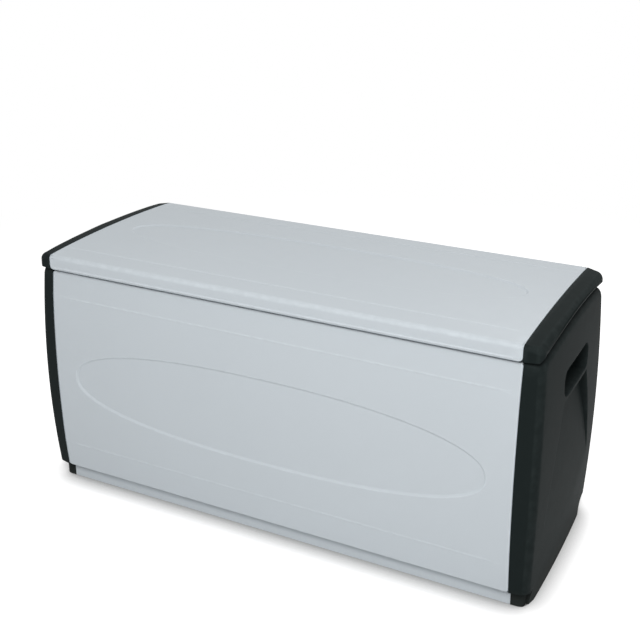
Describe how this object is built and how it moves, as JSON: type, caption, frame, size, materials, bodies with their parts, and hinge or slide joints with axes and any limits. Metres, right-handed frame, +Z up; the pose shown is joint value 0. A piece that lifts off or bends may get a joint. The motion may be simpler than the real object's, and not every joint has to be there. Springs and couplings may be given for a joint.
{
  "type": "outdoor storage chest",
  "caption": "Long moulded-plastic deck chest: pale panels between bulged black ends with hand recesses, and a crowned lid hinged along the rear edge.",
  "frame": {"origin": "on the ground plane, under the middle of the chest's bounding box", "axes": "+X along the chest to its right-hand end seen from the front, -Y to the front, +Y to the hinge side, +Z up"},
  "size_m": [1.1974, 0.488, 0.586],
  "materials": {
    "pale_grey_plastic": "fine-grained moulded polypropylene, cool pale grey",
    "floor_grey_plastic": "plain moulded polypropylene, mid grey",
    "black_plastic": "grained moulded polypropylene, black",
    "stay_plastic": "smooth moulded nylon, black",
    "zinc_steel": "zinc-plated steel",
    "buffer_rubber": "soft black rubber"
  },
  "bodies": {
    "chest": {"end_panel_left": "black_plastic", "end_panel_right": "black_plastic", "front_panel": "pale_grey_plastic", "back_panel": "pale_grey_plastic", "floor_panel": "floor_grey_plastic", "floor_screws": "zinc_steel", "front_plinth": "pale_grey_plastic", "rear_plinth": "pale_grey_plastic", "hinge_pin_left": "zinc_steel", "hinge_pin_centre": "zinc_steel", "hinge_pin_right": "zinc_steel", "stay_stud_left": "stay_plastic", "stay_stud_right": "stay_plastic", "lid_buffers": "buffer_rubber"},
    "lid": {"lid_panel": "pale_grey_plastic", "lid_cap_left": "black_plastic", "lid_cap_right": "black_plastic", "cap_screws_left": "zinc_steel", "cap_screws_right": "zinc_steel", "stay_rivet_left": "stay_plastic", "stay_rivet_right": "stay_plastic"},
    "stay_left": {"lid_stay_left": "stay_plastic"},
    "stay_right": {"lid_stay_right": "stay_plastic"}
  },
  "joints": [
    {"name": "lid_hinge", "type": "hinge", "parent": "chest", "child": "lid", "pos_m": [0, 0.236, 0.5425], "axis": [-1, 0, 0], "range_deg": [0, 100]},
    {"name": "stay_left_pivot", "type": "hinge", "parent": "lid", "child": "stay_left", "pos_m": [-0.5436, 0.08712, 0.56078], "axis": [1, 0, 0], "range_deg": [0, 50]},
    {"name": "stay_right_pivot", "type": "hinge", "parent": "lid", "child": "stay_right", "pos_m": [0.5436, 0.08712, 0.56078], "axis": [1, 0, 0], "range_deg": [0, 50]}
  ],
  "couplings": [
    {"joint": "stay_left_pivot", "follows": "lid_hinge", "ratio": 0.5},
    {"joint": "stay_right_pivot", "follows": "lid_hinge", "ratio": 0.5}
  ]
}
